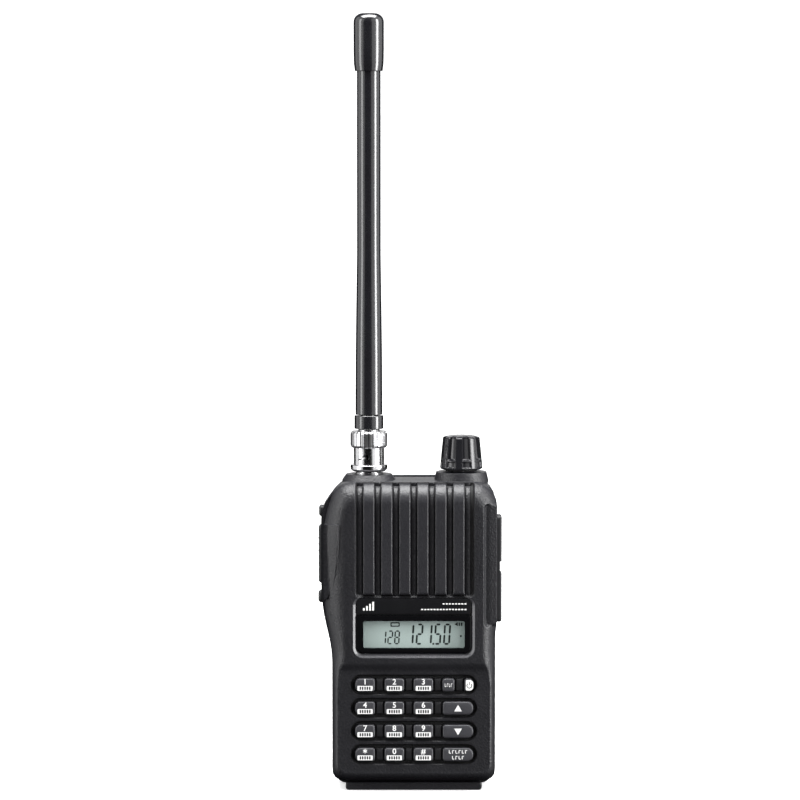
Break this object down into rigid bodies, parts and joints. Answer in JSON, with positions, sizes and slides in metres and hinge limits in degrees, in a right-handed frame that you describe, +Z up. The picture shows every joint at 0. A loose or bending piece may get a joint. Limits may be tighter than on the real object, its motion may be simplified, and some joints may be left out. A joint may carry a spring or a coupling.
{
  "type": "handheld radio transceiver",
  "caption": "Handheld two-way radio with ribbed speaker grille, small display, keypad, side talk button, volume knob, whip antenna on a bayonet connector, battery and belt clip.",
  "frame": {"origin": "middle of the resting face at the foot of the case, under the middle of the case's width", "axes": "+X to the right of someone facing the keypad, +Y from the keypad to the belt clip, +Z up along the antenna"},
  "size_m": [0.0655, 0.0397, 0.2761],
  "materials": {
    "case": "fine grained moulded plastic",
    "key": "satin moulded plastic",
    "power_key": "satin white plastic",
    "rubber": "matte moulded rubber",
    "whip": "smooth half-gloss rubber",
    "trim": "smooth satin plastic",
    "lens": "polished window, printed black behind",
    "lcd": "reflective liquid crystal panel",
    "chrome": "polished plating",
    "steel": "satin",
    "copper": "enamelled copper wire",
    "contact": "gold plated",
    "board": "solder-masked fibreglass",
    "felt": "pressed felt",
    "paper": "pressed paper cone",
    "cell": "shrink-wrapped cell"
  },
  "bodies": {
    "chassis": {"rear_chassis": "case", "front_shell": "case", "case_gasket": "rubber", "name_strip": "trim", "display_lens": "lens", "lcd_panel": "lcd", "speaker_felt": "felt", "speaker_frame": "steel", "speaker_cone": "paper", "logic_board": "board", "main_board": "board", "rf_shield": "steel", "keypad_mat": "rubber", "side_key_frame": "steel", "jack_block": "key", "knob_seal": "rubber", "volume_pot": "steel", "bnc_socket": "chrome", "socket_nut": "steel", "contact_block": "contact", "clip_plate": "case", "clip_pin": "steel", "clip_spring": "steel", "clip_screw_left": "steel", "clip_screw_right": "steel"},
    "key_1": {"key_1": "key"},
    "key_2": {"key_2": "key"},
    "key_3": {"key_3": "key"},
    "key_monitor": {"key_monitor": "key"},
    "key_power": {"key_power": "power_key"},
    "key_4": {"key_4": "key"},
    "key_5": {"key_5": "key"},
    "key_6": {"key_6": "key"},
    "key_up": {"key_up": "key"},
    "key_7": {"key_7": "key"},
    "key_8": {"key_8": "key"},
    "key_9": {"key_9": "key"},
    "key_down": {"key_down": "key"},
    "key_star": {"key_star": "key"},
    "key_0": {"key_0": "key"},
    "key_hash": {"key_hash": "key"},
    "key_call": {"key_call": "key"},
    "ptt_button": {"ptt_button": "rubber"},
    "upper_side_button": {"upper_side_button": "rubber"},
    "lower_side_button": {"lower_side_button": "rubber"},
    "jack_cover": {"jack_cover": "rubber"},
    "volume_knob": {"volume_knob": "key", "pot_shaft": "steel"},
    "antenna_plug": {"plug_shell": "chrome"},
    "coupling_sleeve": {"coupling_sleeve": "chrome"},
    "antenna_whip": {"whip_collar": "whip", "antenna_sheath": "whip", "antenna_cap": "whip", "antenna_coil": "copper"},
    "battery": {"battery_case": "case", "battery_lid": "case", "cell_left": "cell", "cell_right": "cell"},
    "battery_latch": {"battery_latch": "rubber"},
    "belt_clip": {"belt_clip": "case"}
  },
  "joints": [
    {"name": "key_1_press", "type": "slide", "parent": "chassis", "child": "key_1", "axis": [0, 1, 0], "range_m": [0, 0.0006], "stiffness_N_per_m": 300, "springref_m": -0.0004},
    {"name": "key_2_press", "type": "slide", "parent": "chassis", "child": "key_2", "axis": [0, 1, 0], "range_m": [0, 0.0006], "stiffness_N_per_m": 300, "springref_m": -0.0004},
    {"name": "key_3_press", "type": "slide", "parent": "chassis", "child": "key_3", "axis": [0, 1, 0], "range_m": [0, 0.0006], "stiffness_N_per_m": 300, "springref_m": -0.0004},
    {"name": "key_monitor_press", "type": "slide", "parent": "chassis", "child": "key_monitor", "axis": [0, 1, 0], "range_m": [0, 0.0006], "stiffness_N_per_m": 300, "springref_m": -0.0004},
    {"name": "key_power_press", "type": "slide", "parent": "chassis", "child": "key_power", "axis": [0, 1, 0], "range_m": [0, 0.0006], "stiffness_N_per_m": 300, "springref_m": -0.0004},
    {"name": "key_4_press", "type": "slide", "parent": "chassis", "child": "key_4", "axis": [0, 1, 0], "range_m": [0, 0.0006], "stiffness_N_per_m": 300, "springref_m": -0.0004},
    {"name": "key_5_press", "type": "slide", "parent": "chassis", "child": "key_5", "axis": [0, 1, 0], "range_m": [0, 0.0006], "stiffness_N_per_m": 300, "springref_m": -0.0004},
    {"name": "key_6_press", "type": "slide", "parent": "chassis", "child": "key_6", "axis": [0, 1, 0], "range_m": [0, 0.0006], "stiffness_N_per_m": 300, "springref_m": -0.0004},
    {"name": "key_up_press", "type": "slide", "parent": "chassis", "child": "key_up", "axis": [0, 1, 0], "range_m": [0, 0.0006], "stiffness_N_per_m": 300, "springref_m": -0.0004},
    {"name": "key_7_press", "type": "slide", "parent": "chassis", "child": "key_7", "axis": [0, 1, 0], "range_m": [0, 0.0006], "stiffness_N_per_m": 300, "springref_m": -0.0004},
    {"name": "key_8_press", "type": "slide", "parent": "chassis", "child": "key_8", "axis": [0, 1, 0], "range_m": [0, 0.0006], "stiffness_N_per_m": 300, "springref_m": -0.0004},
    {"name": "key_9_press", "type": "slide", "parent": "chassis", "child": "key_9", "axis": [0, 1, 0], "range_m": [0, 0.0006], "stiffness_N_per_m": 300, "springref_m": -0.0004},
    {"name": "key_down_press", "type": "slide", "parent": "chassis", "child": "key_down", "axis": [0, 1, 0], "range_m": [0, 0.0006], "stiffness_N_per_m": 300, "springref_m": -0.0004},
    {"name": "key_star_press", "type": "slide", "parent": "chassis", "child": "key_star", "axis": [0, 1, 0], "range_m": [0, 0.0006], "stiffness_N_per_m": 300, "springref_m": -0.0004},
    {"name": "key_0_press", "type": "slide", "parent": "chassis", "child": "key_0", "axis": [0, 1, 0], "range_m": [0, 0.0006], "stiffness_N_per_m": 300, "springref_m": -0.0004},
    {"name": "key_hash_press", "type": "slide", "parent": "chassis", "child": "key_hash", "axis": [0, 1, 0], "range_m": [0, 0.0006], "stiffness_N_per_m": 300, "springref_m": -0.0004},
    {"name": "key_call_press", "type": "slide", "parent": "chassis", "child": "key_call", "axis": [0, 1, 0], "range_m": [0, 0.0006], "stiffness_N_per_m": 300, "springref_m": -0.0004},
    {"name": "ptt_button_press", "type": "slide", "parent": "chassis", "child": "ptt_button", "axis": [1, 0, 0], "range_m": [0, 0.001], "stiffness_N_per_m": 600, "springref_m": -0.0004},
    {"name": "upper_side_button_press", "type": "slide", "parent": "chassis", "child": "upper_side_button", "axis": [1, 0, 0], "range_m": [0, 0.0006], "stiffness_N_per_m": 500, "springref_m": -0.0004},
    {"name": "lower_side_button_press", "type": "slide", "parent": "chassis", "child": "lower_side_button", "axis": [1, 0, 0], "range_m": [0, 0.0006], "stiffness_N_per_m": 500, "springref_m": -0.0004},
    {"name": "jack_cover_hinge", "type": "hinge", "parent": "chassis", "child": "jack_cover", "pos_m": [0.0299, 0.0034, 0.0785], "axis": [0, 0, 1], "range_deg": [0, 100], "stiffness_Nm_per_rad": 0.0006},
    {"name": "volume_turn", "type": "hinge", "parent": "chassis", "child": "volume_knob", "pos_m": [0.017, 0.004, 0.12], "axis": [0, 0, 1], "range_deg": [-135, 135]},
    {"name": "coupling_turn", "type": "hinge", "parent": "antenna_plug", "child": "coupling_sleeve", "pos_m": [-0.016, 0.004, 0.12], "axis": [0, 0, 1], "range_deg": [0, 80]},
    {"name": "antenna_lift", "type": "slide", "parent": "chassis", "child": "antenna_plug", "axis": [0, 0, 1], "range_m": [0, 0.0023]},
    {"name": "antenna_swivel", "type": "hinge", "parent": "antenna_plug", "child": "antenna_whip", "pos_m": [-0.016, 0.004, 0.13], "axis": [0, 0, 1], "continuous": true},
    {"name": "battery_slide", "type": "slide", "parent": "chassis", "child": "battery", "axis": [0, 0, -1], "range_m": [0, 0.03]},
    {"name": "latch_slide", "type": "slide", "parent": "chassis", "child": "battery_latch", "axis": [0, -1, 0], "range_m": [0, 0.0013], "stiffness_N_per_m": 400, "springref_m": -0.0006},
    {"name": "belt_clip_open", "type": "hinge", "parent": "chassis", "child": "belt_clip", "pos_m": [0, 0.0216, 0.1025], "axis": [1, 0, 0], "range_deg": [0, 18], "stiffness_Nm_per_rad": 0.35, "springref_deg": -8.59}
  ],
  "couplings": [
    {"joint": "coupling_turn", "follows": "antenna_lift", "rad_per_m": 607.07}
  ]
}
